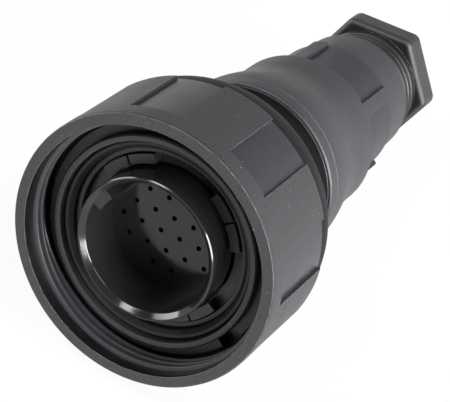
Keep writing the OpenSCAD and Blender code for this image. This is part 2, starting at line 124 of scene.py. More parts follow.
# Moulded surfaces: name, colour, roughness, grain width and depth in millimetres, then how strongly flow
# marks, grain and dust show, and the specular level
MOULDED = {
    # Glass-filled nylon 66 from an eroded mould: dull and dark, with a fine grain and soft flow marks
    "ring": ("eroded nylon, ring", "ring", 0.5, 0.3, 0.07, 0.05, 0.3, 0.7, 0.5),
    "body": ("eroded nylon, body", "body", 0.5, 0.3, 0.05, 0.08, 0.14, 0, 0.5),
    "collar": ("eroded nylon, collar", "shell", 0.46, 0.3, 0.06, 0.08, 0.14, 0, 0.5),
    "shell": ("eroded nylon, shell", "shell", 0.5, 0.3, 0.06, 0.05, 0.16, 0.35, 0.5),
    "nut": ("eroded nylon, nut", "nut", 0.48, 0.3, 0.05, 0.05, 0.14, 0.3, 0.5),
    # The same nylon from polished parts of the mould, with a soft sheen; the bay floors are a little darker, and
    # the ring's skirt and bore, the neck and the nut's face are near black with painted shade
    "ring floor": ("satin nylon, bays", "floor", 0.32, 0.4, 0.03, 0.08, 0.16, 0.5, 0.5),
    # The skirt's near-black colour is painted shade on the shoulder behind the grip
    "ring skirt": ("satin nylon, skirt", "skirt", 0.6, 0.4, 0.03, 0.1, 0.1, 0, 0.15),
    # The bore's near-black colour is painted shade inside the ring and between the thread's ridges
    "ring bore": ("satin nylon, bore", "bore", 0.34, 0.4, 0.02, 0.05, 0.08, 0, 0.5),
    "thread": ("satin nylon, thread", "thread", 0.38, 0.4, 0.02, 0.05, 0.08, 0, 0.5),
    # The neck's near-black colour is painted shade, where the coupling ring's shadow falls
    "neck": ("satin nylon, neck", "neck", 0.6, 0.4, 0.02, 0.1, 0.1, 0, 0.1),
    "shell floor": ("satin nylon, shell bays", "floor", 0.46, 0.4, 0.03, 0.1, 0.14, 0, 0.5),
    # The nut face takes the skirt's near-black painted shade
    "nut face": ("satin nylon, nut face", "skirt", 0.42, 0.4, 0.02, 0.08, 0.14, 0, 0.5),
    # Unfilled nylon from a polished mould: nearly black, with sharp reflections; the lock ring is dustier
    "carrier": ("polished nylon, carrier", "carrier", 0.14, 1.2, 0.01, 0.05, 0.02, 0, 0.5),
    "lock": ("polished nylon, lock ring", "lock", 0.36, 0.5, 0.03, 0.1, 0.3, 0.6, 0.5),
    # Acetal and nitrile rubber as moulded: black and even, one waxy and one dull
    "acetal": ("moulded acetal", "acetal", 0.4, 0.4, 0.02, 0.05, 0.05, 0, 0.5),
    "rubber": ("moulded nitrile rubber", "rubber", 0.55, 0.3, 0.02, 0.05, 0.1, 0, 0.5),
}
# Rounded edges painted lighter in thin broken lines, as highlights where they catch the light: name, colour,
# highlight colour and roughness
EDGE_HIGHLIGHTS = {
    "ring edge": ("rubbed nylon edge, ring", "ring", "worn", 0.3),
    "body edge": ("rubbed nylon edge, body", "body", "shell", 0.34),
    "shell edge": ("rubbed nylon edge, shell", "shell", "worn", 0.34),
    "nut edge": ("rubbed nylon edge, nut", "nut", "worn", 0.34),
}
GOLD = "gold-plated brass"
# The finishes of the CAD nodes that stay as they are
INNER_FINISHES = {"carrier_seal": "rubber", "shell_seal": "rubber", "gland_seal": "rubber",
                  "gland_cage": "acetal", "contact_retainer": "carrier"}

BODY = "plug_body"
RING_BODY = "coupling_ring"
NUT_BODY = "gland_nut"


def hex_to_linear(code):
    """Linear colour of an sRGB hex value."""
    parts = [int(code.lstrip("#")[k:k + 2], 16) / 255 for k in (0, 2, 4)]
    linear = [c / 12.92 if c <= 0.04045 else ((c + 0.055) / 1.055) ** 2.4 for c in parts]
    return (*linear, 1)


def size(name, description, default):
    """A length, given in millimetres and kept in metres."""
    return FloatProperty(name=name, description=description, default=default * MM, min=0, max=200 * MM,
                         precision=5, subtype="DISTANCE", unit="LENGTH")


def station(name, place, default):
    """The distance of a place along the plug from the mouth of its coupling ring."""
    return size(name, "From the mouth to " + place, default)


def angle(name, description, default):
    """An angle, given in degrees and kept in radians."""
    return FloatProperty(name=name, description=description, default=math.radians(default),
                         subtype="ANGLE", unit="ROTATION")


def colour(name, description, code):
    """A colour, given as an sRGB hex value and kept linear."""
    return FloatVectorProperty(name=name, description=description, default=hex_to_linear(code), size=4,
                               min=0, max=1, subtype="COLOR")


class Sizes:
    """The sizes of a property group as the pieces are drawn with them, in millimetres and degrees."""

    def __init__(self, group):
        for name, prop in group.bl_rna.properties.items():
            value = getattr(group, name)
            if prop.unit == "LENGTH":
                value = round(value / MM, 4)
            elif prop.unit == "ROTATION":
                value = round(math.degrees(value), 4)
            setattr(self, name, value)


class RingSizes(PropertyGroup):
    """Sizes of the coupling ring and its thread"""
    outer_d: size("Outer diameter", "Diameter over the lands of the grip", 46)
    length: station("Length", "the end of the skirt", 24.5)
    grip_l: station("Grip length", "the rear of the lands", 18.45)
    shoulder_r: size("Shoulder radius", "Radius of the rounded shoulder behind the grip", 11)
    chamfer: size("Chamfer", "How far the ends of the grip start to fall away", 0.5)
    lip: size("Lip", "Drop of the rounded lip at both ends of the grip", 0.15)
    bay_count: IntProperty(name="Bays", description="Number of bays in the grip", default=8, min=1, max=24)
    bay_depth: size("Bay depth", "Depth of each bay", 0.6)
    bay_angle: angle("Bay width", "Width of each bay", 22)
    bay_front: station("Bay start", "the front wall of each bay", 3.5)
    bay_turn: angle("Bay turn", "Turn of the first bay from the top", -10.7)
    skirt_bore: size("Skirt bore", "Diameter inside the rear skirt", 39.8)
    stop_bore: size("Stop bore", "Diameter of the inner flange that runs on the body", 36.4)
    stop_front: station("Stop front", "the inner flange", 7.95)
    stop_rear: station("Stop rear", "the rear of the inner flange", 10.2)
    thread_d: size("Thread diameter", "Diameter over the crests of the female thread", 40.6)
    thread_depth: size("Thread depth", "Depth of the thread", 0.65)
    thread_front: station("Thread start", "the first thread", 1.3)
    thread_l: size("Thread length", "Length of the thread with its faded ends", 5.6)
    thread_pitch: size("Thread pitch", "Pitch of the thread", 1.5)


class BodySizes(PropertyGroup):
    """Sizes of the front body, split ring, seal and lock ring"""
    rim_d: size("Rim diameter", "Diameter of the front rim and of the journal", 36.2)
    rim_front: station("Rim front", "the front rim", 3.9)
    rim_l: size("Rim width", "Width of the rim in front of the split ring", 1.85)
    rim_wall: size("Rim wall", "Wall of the rim around the mating seal", 1.2)
    flange_d: size("Flange diameter", "Diameter of the flange behind the journal", 39.2)
    neck_d: size("Neck diameter", "Diameter of the neck", 32)
    collar_front: station("Collar front", "the collar", 34.6)
    collar_l: size("Collar width", "Width of the collar", 2.5)
    collar_d: size("Collar diameter", "Diameter of the collar", 33.4)
    split_d: size("Split ring diameter", "Outer diameter of the split ring", 40)
    split_t: size("Split ring thickness", "Thickness of the split ring", 2)
    split_gap: angle("Split ring opening", "Opening between the ends of the split ring", 12)
    split_turn: angle("Split ring turn", "Turn of that opening from the top", 125.3)
    groove: size("Groove depth", "Depth of the split ring's groove", 0.9)
    seal_w: size("Seal width", "Width of the mating seal", 1.6)
    seal_sink: size("Seal sink", "From the rim's face down to the crown of the seal", 1)
    seal_l: size("Seal length", "Length of the mating seal", 3)
    lock_d: size("Lock ring diameter", "Outer diameter of the lock ring", 28.8)
    lock_bore: size("Lock ring bore", "Inner diameter of the lock ring", 24.8)
    lock_front: station("Lock ring front", "the lock ring", 8)
    lock_t: size("Lock ring thickness", "Thickness of the lock ring", 1.95)
    dog_h: size("Dog height", "Height of each dog on the lock ring", 2)
    dog_t: size("Dog thickness", "Thickness of each dog", 1.6)
    dog_angle: angle("Dog width", "Width of each dog", 41)
    dog_turn: angle("Dog turn", "Turn of the first dog from the top", -36.2)
    dog_slot: size("Dog slot", "Width of the slot across each dog", 0.4)


class CarrierSizes(PropertyGroup):
    """Sizes of the contact carrier with its tube, face and holes"""
    tube_d: size("Tube diameter", "Outer diameter of the plug tube", 24.2)
    tube_wall: size("Tube wall", "Wall of the plug tube", 1.2)
    tube_front: station("Tube front", "the rim of the tube", 1.2)
    face_at: station("Contact face", "the contact face", 10.2)
    face_web: size("Face web", "Thickness of the face in front of the contact bores", 0.9)
    back_d: size("Back diameter", "Diameter of the carrier behind its flange", 26)
    back_at: station("Back", "the back of the carrier", 25.8)
    flange_t: size("Flange thickness", "Thickness of the carrier's flange", 2.2)
    retainer_t: size("Retainer", "Depth of the seat of the contact retainer", 1.8)
    key_h: size("Key height", "Height of the key above the bore", 1.5)
    key_angle: angle("Key width", "Width of the key", 19)
    key_turn: angle("Key turn", "Turn of the key from the top", -62.2)
    key_sink: size("Key sink", "From the tube's rim to the front of the key", 0.8)
    pitch: size("Contact pitch", "Distance between neighbouring contacts", 3.52)
    row_turn: angle("Row turn", "Turn of the contact rows from the top", 91.8)
    hole_d: size("Pin holes", "Diameter of the pin holes", 0.9)
    bore_d: size("Contact bores", "Diameter of the bores behind the face", 1.9)
    stop_bore_d: size("Stop bores", "Diameter of the bores for the contacts' collars", 2.6)
    stop_l: size("Stop bore length", "Length of those bores in front of the retainer", 1.6)


class ShellSizes(PropertyGroup):
    """Sizes of the back shell with its barrel, grip and sleeve"""
    front_at: station("Front", "the front of the barrel", 37.15)
    front_d: size("Front diameter", "Diameter of the barrel at the collar", 33.2)
    rear_d: size("Rear diameter", "Diameter of the barrel at its rear", 29)
    flare_l: size("Flare length", "Length of the flared front part", 14.7)
    barrel_rear: station("Barrel rear", "the rear of the barrel", 57.3)
    grip_d: size("Grip diameter", "Diameter over the lands behind the barrel", 26.3)
    grip_rear: station("Grip rear", "the rear of that grip", 69.8)
    bay_count: IntProperty(name="Bays", description="Number of bays in that grip", default=5, min=1, max=24)
    bay_depth: size("Bay depth", "Depth of the bays", 0.8)
    bay_angle: angle("Bay width", "Width of the bays", 60.5)
    bay_turn: angle("Bay turn", "Turn of the first bay from the top", 15.55)
    sleeve_d: size("Sleeve diameter", "Diameter of the sleeve at its front", 23.7)
    sleeve_rear_d: size("Sleeve rear diameter", "Diameter of the sleeve at its rear", 23)
    sleeve_rear: station("Sleeve rear", "the rear of the sleeve", 79.8)
    sleeve_round: size("Sleeve round", "Radius of the sleeve's rounded end", 0.9)
    spigot_bore: size("Spigot bore", "Diameter of the bore for the body's spigot", 28.4)
    spigot_rear: station("Spigot rear", "the end of the spigot", 45.6)
    barrel_bore: size("Barrel bore", "Diameter inside the barrel", 24.2)
    wire_way: size("Wire way", "Diameter of the hole for the wires", 16.4)
    web_rear: station("Web rear", "the rear of the web", 58.2)
    web_t: size("Web thickness", "Thickness of the web around that hole", 1.8)
    cone_l: size("Cone length", "Length of the cone behind the web", 2.6)
    gland_bore: size("Gland bore", "Diameter of the bore around the gland nut's thread", 20.8)


class GlandSizes(PropertyGroup):
    """Sizes of the gland nut"""
    shank_front: station("Shank front", "the end of the shank", 74)
    hex_front: station("Hex front", "the front of the hex", 86.7)
    hex_t: size("Hex thickness", "Thickness of the hex", 5.3)
    hex_af: size("Hex width", "Width of the hex across its flats", 21.8)
    corner_r: size("Corner radius", "Radius of the rounded corners of the hex", 1.8)
    thread_mean_d: size("Mean thread diameter", "Mean diameter of the thread", 20)
    thread_rise: size("Thread rise", "Height of the crests above the mean diameter", 0.36)
    thread_pitch: size("Thread pitch", "Pitch of the thread", 1.5)
    bore: size("Bore", "Diameter of the cable entry", 14.4)


class Finish(PropertyGroup):
    """Colours of the moulded and plated surfaces, with painted shade and painted edge highlights among them"""
    ring: colour("Ring nylon", "Glass-filled nylon of the coupling ring", "#2b2c2e")
    body: colour("Body nylon", "Glass-filled nylon of the front body", "#28292b")
    shell: colour("Shell nylon", "Glass-filled nylon of the back shell", "#2d2e31")
    nut: colour("Nut nylon", "Glass-filled nylon of the gland nut", "#2a2b2d")
    carrier: colour("Carrier nylon", "Glossy nylon of the contact carrier", "#1b1b1c")
    floor: colour("Bay floors", "Polished nylon in the bays of the ring and shell", "#24252a")
    # Painted shade: near black on the ring's shoulder behind the grip and on the nut's front face
    skirt: colour("Skirt nylon", "Polished nylon of the ring's shoulder, and the nut's face", "#121315")
    # Painted shade: near black on the neck behind the coupling ring
    neck: colour("Neck nylon", "Polished nylon of the body's neck", "#0b0b0c")
    # Painted shade: near black inside the ring
    bore: colour("Bore nylon", "Polished nylon inside the ring", "#0c0c0d")
    thread: colour("Thread nylon", "Polished nylon of the ring's thread", "#2e2f32")
    # Painted highlight: a light colour on the rounded edges of the nylon pieces
    worn: colour("Rubbed nylon", "Painted highlight along the rounded edges", "#a0a1a4")
    lock: colour("Lock ring nylon", "Nylon of the lock ring with its dogs", "#1e1f21")
    acetal: colour("Acetal", "Acetal of the split ring and gland cage", "#161718")
    rubber: colour("Rubber", "Nitrile rubber of the seals", "#121212")
    gold: colour("Gold plate", "Gold plate of the contacts", "#d9b25a")


class View(PropertyGroup):
    """Angles of the camera"""
    heading: angle("Heading", "Turn of the camera to the left of the plug's own heading", 23.62)
    elevation: angle("Elevation", "How far the camera looks down", 37.68)
    roll: angle("Roll", "Roll of the camera about its line of sight", 9.36)


def add_node(tree, kind, settings=None, links=None):
    """Adds a node, sets its properties and sockets by name, and links sockets to other nodes' outputs."""
    node = tree.nodes.new(kind)
    for name, value in (settings or {}).items():
        if isinstance(name, int) or name in node.inputs:
            node.inputs[name].default_value = value
        else:
            setattr(node, name, value)
    for name, source in (links or {}).items():
        tree.links.new(source, node.inputs[name])
    return node


def start_material(name):
    """An empty node material and its tree."""
    material = bpy.data.materials.new(name)
    material.use_nodes = True
    material.node_tree.nodes.clear()
    return material, material.node_tree


def moulded(name, tint, roughness, grain_mm, grain_depth_mm, mottle, speckle, dust, shine):
    """Moulded plastic: slow flow marks and fine grain in its colour and bump, and a few specks of dust."""
    material, tree = start_material(name)
    place = add_node(tree, "ShaderNodeTexCoord").outputs["Object"]
    grain = add_node(tree, "ShaderNodeTexNoise",
                     {"Scale": 1 / (grain_mm * MM), "Detail": 3.0, "Roughness": 0.6}, {"Vector": place})
    flow = add_node(tree, "ShaderNodeTexNoise",
                    {"Scale": 1 / (FLOW_MM * MM), "Detail": 2.0, "Roughness": 0.5}, {"Vector": place})
    spreads = []
    for source, low, high, middle, swing in (
            (flow, 0.3, 0.7, 1, mottle), (grain, 0.35, 0.65, 1, speckle), (flow, 0.3, 0.7, roughness, 0.05)):
        spread = add_node(tree, "ShaderNodeMapRange",
                          {"From Min": low, "From Max": high, "To Min": middle - swing,
                           "To Max": middle + swing}, {"Value": source.outputs["Fac"]})
        spreads.append(spread.outputs["Result"])
    slow, fine, rough = spreads
    shade = add_node(tree, "ShaderNodeMath", {"operation": "MULTIPLY"},
                     {0: slow, 1: fine})
    base = add_node(tree, "ShaderNodeMix", {"data_type": "RGBA", "blend_type": "MULTIPLY", "Factor": 1.0})
    base.inputs[6].default_value = tint
    tree.links.new(shade.outputs[0], base.inputs[7])
    tone = base.outputs[2]
    if dust:
        spots = add_node(tree, "ShaderNodeTexVoronoi", {"Scale": 1 / (DUST_MM * MM)}, {"Vector": place})
        fleck = add_node(tree, "ShaderNodeMapRange",
                         {"From Min": 0.035, "From Max": 0.06, "To Min": dust, "To Max": 0.0},
                         {"Value": spots.outputs["Distance"]})
        dusty = add_node(tree, "ShaderNodeMix", {"data_type": "RGBA"}, {"Factor": fleck.outputs["Result"]})
        tree.links.new(tone, dusty.inputs[6])
        dusty.inputs[7].default_value = hex_to_linear(DUST_COLOUR)
        tone = dusty.outputs[2]
    bump = add_node(tree, "ShaderNodeBump", {"Strength": 1.0, "Distance": grain_depth_mm * MM},
                    {"Height": grain.outputs["Fac"]})
    skin = add_node(tree, "ShaderNodeBsdfPrincipled",
                    {"IOR": 1.5, "Specular IOR Level": shine},
                    {"Base Color": tone, "Roughness": rough, "Normal": bump.outputs["Normal"]})
    add_node(tree, "ShaderNodeOutputMaterial", None, {"Surface": skin.outputs["BSDF"]})
    return material


def highlighted_edge(name, tint, highlight_tint, roughness):
    """Moulded edge with a painted highlight: lighter in broken stretches."""
    material, tree = start_material(name)
    place = add_node(tree, "ShaderNodeTexCoord").outputs["Object"]
    breaks = add_node(tree, "ShaderNodeTexNoise",
                      {"Scale": 1 / (HIGHLIGHT_BREAK_MM * MM), "Detail": 4.0, "Roughness": 0.7}, {"Vector": place})
    # The painted highlight shows where the noise runs high, in broken stretches
    worn = add_node(tree, "ShaderNodeMapRange", {"From Min": 0.36, "From Max": 0.54},
                    {"Value": breaks.outputs["Fac"]})
    tone = add_node(tree, "ShaderNodeMix", {"data_type": "RGBA"}, {"Factor": worn.outputs["Result"]})
    tone.inputs[6].default_value = tint
    tone.inputs[7].default_value = highlight_tint
    bump = add_node(tree, "ShaderNodeBump", {"Strength": 1.0, "Distance": 0.01 * MM},
                    {"Height": breaks.outputs["Fac"]})
    skin = add_node(tree, "ShaderNodeBsdfPrincipled", {"IOR": 1.5, "Roughness": roughness},
                    {"Base Color": tone.outputs[2], "Normal": bump.outputs["Normal"]})
    add_node(tree, "ShaderNodeOutputMaterial", None, {"Surface": skin.outputs["BSDF"]})
    return material


def gold_plate(tint):
    """Gold plate on drawn brass: metal with faint marks along the grain of the drawing."""
    material, tree = start_material(GOLD)
    place = add_node(tree, "ShaderNodeTexCoord").outputs["Object"]
    marks = add_node(tree, "ShaderNodeTexNoise", {"Scale": 1 / (0.2 * MM), "Detail": 2.0}, {"Vector": place})
    rough = add_node(tree, "ShaderNodeMapRange", {"To Min": 0.2, "To Max": 0.36},
                     {"Value": marks.outputs["Fac"]})
    skin = add_node(tree, "ShaderNodeBsdfPrincipled", {"Base Color": tint, "Metallic": 1.0},
                    {"Roughness": rough.outputs["Result"]})
    add_node(tree, "ShaderNodeOutputMaterial", None, {"Surface": skin.outputs["BSDF"]})
    return material


def finish(kind):
    """The material of one kind of surface, made once."""
    tints = bpy.context.scene.plug_finish
    name = MOULDED.get(kind, EDGE_HIGHLIGHTS.get(kind, [GOLD]))[0]
    made = bpy.data.materials.get(name)
    if made:
        return made
    if kind in MOULDED:
        tint, *numbers = MOULDED[kind][1:]
        return moulded(name, getattr(tints, tint), *numbers)
    if kind in EDGE_HIGHLIGHTS:
        tint, worn, roughness = EDGE_HIGHLIGHTS[kind][1:]
        return highlighted_edge(name, getattr(tints, tint), getattr(tints, worn), roughness)
    return gold_plate(tints.gold)


def dress(piece, *materials):
    """Gives a piece its materials: the first for its faces, a second for its rounded edges."""
    piece.data.materials.clear()
    for material in materials:
        piece.data.materials.append(material)


def patch(piece, material, chosen, edges=False):
    """Gives one more material to the faces that a test of radius and station picks, edges too if asked."""
    piece.data.materials.append(material)
    index = len(piece.data.materials) - 1
    for face in piece.data.polygons:
        x, y, z = face.center
        if (face.material_index == 0 or edges) and chosen(math.hypot(x, y), z):
            face.material_index = index


def deselect():
    """Leaves object mode with nothing selected."""
    if bpy.context.object and bpy.context.object.mode != "OBJECT":
        bpy.ops.object.mode_set(mode="OBJECT")
    bpy.ops.object.select_all(action="DESELECT")


def activate(piece):
    """Selects one piece alone and makes it active."""
    deselect()
    piece.select_set(True)
    bpy.context.view_layer.objects.active = piece


def edit(piece):
    """Opens a piece in edit mode with all of it selected."""
    activate(piece)
    bpy.ops.object.mode_set(mode="EDIT")
    bpy.ops.mesh.select_all(action="SELECT")


def apply_modifier(piece, kind, **settings):
    """Adds a modifier to a piece, sets it and applies it."""
    activate(piece)
    modifier = piece.modifiers.new(kind.lower(), kind)
    for name, value in settings.items():
        setattr(modifier, name, value)
    bpy.ops.object.modifier_apply(modifier=modifier.name)


def face_outwards():
    """Turns the faces of the piece in edit mode outwards, and leaves edit mode."""
    bpy.ops.mesh.select_all(action="SELECT")
    bpy.ops.mesh.normals_make_consistent(inside=False)
    bpy.ops.object.mode_set(mode="OBJECT")


def profile_loop(name, points, turn=0.0):
    """A closed loop of edges through [radius, station] points, in the half plane at one turn."""
    deselect()
    bpy.ops.mesh.primitive_circle_add(vertices=len(points), radius=1, fill_type="NOTHING")
    piece = bpy.context.object
    piece.name = name
    for corner, (radius, station) in zip(piece.data.vertices, points):
        corner.co = (radius * math.cos(turn), radius * math.sin(turn), station)
    return piece


def turned(name, points):
    """A solid of revolution about the plug's axis, from [radius, station] points."""
    piece = profile_loop(name, points)
    edit(piece)
    bpy.ops.mesh.spin(steps=FULL_TURN, angle=math.tau, center=(0, 0, 0), axis=(0, 0, 1))
    bpy.ops.mesh.select_all(action="SELECT")
    bpy.ops.mesh.remove_doubles(threshold=WELD / 2)
    face_outwards()
    return piece


def sector(name, points, width, turn):
    """Part of a solid of revolution, as wide as an angle and centred on one turn, both in degrees."""
    start = math.radians(turn - width / 2)
    piece = profile_loop(name, points, start)
    edit(piece)
    steps = max(2, round(FULL_TURN * width / 360))
    bpy.ops.mesh.spin(steps=steps, angle=-math.radians(width), center=(0, 0, 0), axis=(0, 0, 1))
    bpy.ops.mesh.select_all(action="SELECT")
    bpy.ops.mesh.fill_holes(sides=0)
    face_outwards()
    return piece


def box_points(inner_r, outer_r, front, rear):
    """Corners of a rectangle of radii and stations."""
    return [(inner_r, front), (outer_r, front), (outer_r, rear), (inner_r, rear)]


def rod(name, radius, front, rear, at=(0, 0), sides=24):
    """A round bar along the axis, from one station to another."""
    deselect()
    bpy.ops.mesh.primitive_cylinder_add(vertices=sides, radius=radius, depth=rear - front,
                                        location=(at[0], at[1], (front + rear) / 2))
    piece = bpy.context.object
    piece.name = name
    bpy.ops.object.transform_apply(location=True, rotation=True, scale=True)
    return piece


def joined(pieces):
    """Joins pieces into the first of them."""
    deselect()
    for piece in pieces:
        piece.select_set(True)
    bpy.context.view_layer.objects.active = pieces[0]
    if len(pieces) > 1:
        bpy.ops.object.join()
    return pieces[0]


def cut(piece, cutters, operation="DIFFERENCE"):
    """Cuts joined cutters out of a piece, or adds or keeps them, and deletes them."""
    tool = joined(cutters)
    apply_modifier(piece, "BOOLEAN", object=tool, operation=operation, solver="EXACT")
    bpy.data.objects.remove(tool)
    return piece


def soften(piece, width):
    """Rounds the edges as a mould leaves them, and shades the piece smooth between them."""
    edit(piece)
    bpy.ops.mesh.remove_doubles(threshold=WELD)
    bpy.ops.object.mode_set(mode="OBJECT")
    # The bevels take the second material, which on the nylon pieces is the painted edge highlight
    edge = 1 if len(piece.data.materials) > 1 else -1
    apply_modifier(piece, "BEVEL", width=width, segments=3, limit_method="ANGLE", angle_limit=EDGE_ANGLE,
                   use_clamp_overlap=True, miter_outer="MITER_ARC", material=edge)
    activate(piece)
    bpy.ops.object.shade_smooth_by_angle(angle=SMOOTH_ANGLE)
    apply_modifier(piece, "WEIGHTED_NORMAL", mode="FACE_AREA", weight=80, keep_sharp=True)
    return piece


def lay(piece, body, node=None):
    """Lays a finished piece into the frame, in metres, on its body, in place of a CAD node."""
    deselect()
    piece.data.transform(TO_FRAME)
    piece.matrix_world = Matrix.Identity(4)
    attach(piece, body)
    if node:
        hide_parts(node)
    return piece


def thread_ridge(name, root_r, crest_r, front, length, pitch):
    """The ridge of a right-handed thread that fades into its wall at both ends."""
    turns = length / pitch - 1
    foot_r = root_r + (THREAD_BURY if root_r > crest_r else -THREAD_BURY)
    half_root = pitch * ROOT_SHARE
    half_crest = pitch * CREST_SHARE
    points = [(foot_r, front), (crest_r, front + half_root - half_crest),
              (crest_r, front + half_root + half_crest), (foot_r, front + 2 * half_root)]
    piece = profile_loop(name, points)
    count = round(THREAD_STEPS * turns)
    apply_modifier(piece, "SCREW", axis="Z", angle=math.tau * turns, screw_offset=pitch * turns,
                   iterations=1, steps=count, render_steps=count, use_merge_vertices=False)
    # Each end fades over an eighth of a turn
    fade = THREAD_STEPS / 8
    for index, corner in enumerate(piece.data.vertices):
        step = index // len(points)
        rise = min(1, step / fade, (count - step) / fade)
        radius = math.hypot(corner.co.x, corner.co.y)
        wanted = foot_r + (radius - foot_r) * rise
        corner.co.x *= wanted / radius
        corner.co.y *= wanted / radius
    edit(piece)
    bpy.ops.mesh.fill_holes(sides=0)
    face_outwards()
    apply_modifier(piece, "BEVEL", width=THREAD_ROUND, segments=2, limit_method="ANGLE",
                   angle_limit=math.radians(25), use_clamp_overlap=True)
    activate(piece)
    bpy.ops.object.shade_smooth_by_angle(angle=math.radians(40))
    return piece


class PLUG_OT_coupling_ring(Operator):
    """Turn the coupling ring, sink the bays into its grip and cut its thread"""
    bl_idname = "plug.coupling_ring"
    bl_label = "Coupling ring"

    def execute(self, context):
        s = Sizes(context.scene.plug_ring)
        outer_r = s.outer_d / 2
        floor_r = outer_r - s.bay_depth
        root_r = s.thread_d / 2 + s.thread_depth
        # The shoulder falls away in a round from just under the floors of the bays
        top_r = floor_r - 0.05
        shoulder = []
        steps = 24
        for k in range(steps + 1):
            along = (s.length - s.grip_l) * k / steps
            drop = s.shoulder_r - math.sqrt(s.shoulder_r ** 2 - along ** 2)
            shoulder.append((top_r - drop, s.grip_l + along))
        mouth_flare = 0.1
        piece = turned("coupling_ring_shell", [
            (root_r + mouth_flare, 0), (outer_r - s.chamfer, 0), (outer_r - s.lip, s.lip / 2),
            (outer_r, s.chamfer), (outer_r, s.grip_l - s.chamfer),
            (outer_r - s.lip / 2, s.grip_l - s.lip / 2), (outer_r - s.lip, s.grip_l), *shoulder,
            (s.skirt_bore / 2, s.length), (s.skirt_bore / 2, s.stop_rear), (s.stop_bore / 2, s.stop_rear),
            (s.stop_bore / 2, s.stop_front), (root_r, s.stop_front), (root_r, s.thread_front / 3),
        ])
        bay = box_points(floor_r, outer_r + PAST, s.bay_front, s.grip_l + PAST)
        cut(piece, [sector("bay", bay, s.bay_angle, s.bay_turn + k * 360 / s.bay_count)
                    for k in range(s.bay_count)])
        dress(piece, finish("ring"), finish("ring edge"))
        soften(piece, width=0.18)
        foot = 0.25
        patch(piece, finish("ring floor"), lambda r, z: floor_r - NEAR < r < floor_r + foot
              and s.bay_front - NEAR < z < s.grip_l - WELD, edges=True)
        # The shoulder and skirt behind the grip take the near-black painted shade
        patch(piece, finish("ring skirt"),
              lambda r, z: z > s.grip_l + NEAR / 2 and r < floor_r + NEAR, edges=True)
        # Inside the ring, up to the rear of its inner flange, the faces take the near-black painted shade
        patch(piece, finish("ring bore"),
              lambda r, z: r < root_r + NEAR / 2 and z < s.stop_rear - WELD, edges=True)
        lay(piece, RING_BODY, "coupling_ring")
        thread = thread_ridge("coupling_thread", root_r, s.thread_d / 2, s.thread_front, s.thread_l,
                              s.thread_pitch)
        dress(thread, finish("thread"))
        lay(thread, RING_BODY)
        return {"FINISHED"}


class PLUG_OT_front_body(Operator):
    """Turn the front body with its rim, journal, flange, neck and collar"""
    bl_idname = "plug.front_body"
    bl_label = "Front body"

    def execute(self, context):
        s = Sizes(context.scene.plug_body)
        shell = Sizes(context.scene.plug_shell)
        edge = 0.3
        inner_edge = 0.2
        rim_r = s.rim_d / 2
        neck_r = s.neck_d / 2
        collar_r = s.collar_d / 2
        # Journal and flange for the coupling ring, with a bevel from the flange down to the neck
        journal_l = 2.5
        flange_t = 2
        neck_bevel = 1
        split_front = s.rim_front + s.rim_l
        journal_front = split_front + s.split_t + FIT
        flange_front = journal_front + journal_l
        flange_rear = flange_front + flange_t
        # Spigot behind the collar, with a groove for the shell's seal
        seal_groove = 1.2
        seal_groove_l = 1.8
        spigot_wall = 2.2
        lead_in = 0.4
        collar_rear = s.collar_front + s.collar_l
        groove_rear = collar_rear + seal_groove_l
        spigot_r = shell.spigot_bore / 2 - FIT
        # Seats inside: seal and lip at the front, then the lock ring's, the flange's and the carrier's bore
        lip_sink = 0.4
        carrier_bore_r = 13.1
        carrier_bore_rear = 26.8
        flange_seat_rear = 13.4
        seal_rear = s.rim_front + s.seal_sink + s.seal_l + FIT
        floor_r = rim_r - s.rim_wall
        lip_r = floor_r - s.seal_w - FIT
        lip_front = s.lock_front - s.dog_h + lip_sink
        lock_r = s.lock_d / 2 + FIT
        piece = turned("front_body_shell", [
            (floor_r, s.rim_front + inner_edge), (floor_r + inner_edge, s.rim_front),
            (rim_r - edge, s.rim_front), (rim_r, s.rim_front + edge), (rim_r, split_front),
            (rim_r - s.groove, split_front), (rim_r - s.groove, journal_front), (rim_r, journal_front),
            (rim_r, flange_front), (s.flange_d / 2, flange_front), (s.flange_d / 2, flange_rear),
            (neck_r + neck_bevel, flange_rear + edge), (neck_r, flange_rear + edge + neck_bevel),
            (neck_r, s.collar_front), (collar_r - edge, s.collar_front), (collar_r, s.collar_front + edge),
            (collar_r, collar_rear), (spigot_r - seal_groove, collar_rear),
            (spigot_r - seal_groove, groove_rear), (spigot_r, groove_rear),
            (spigot_r, shell.spigot_rear - lead_in), (spigot_r - lead_in, shell.spigot_rear),
            (spigot_r - spigot_wall, shell.spigot_rear), (spigot_r - spigot_wall, s.collar_front),
            (carrier_bore_r, carrier_bore_rear), (carrier_bore_r, flange_seat_rear),
            (lock_r, flange_seat_rear), (lock_r, lip_front), (lip_r, lip_front), (lip_r, seal_rear),
            (floor_r, seal_rear),
        ])
        dress(piece, finish("body"), finish("body edge"))
        soften(piece, width=0.12)
        # From the flange back to the collar the body takes the near-black painted shade of the neck
        patch(piece, finish("neck"),
              lambda r, z: flange_front - WELD < z < s.collar_front - WELD and r > neck_r - NEAR)
        patch(piece, finish("collar"), lambda r, z: z > s.collar_front - NEAR)
        lay(piece, BODY, "front_body")
        return {"FINISHED"}


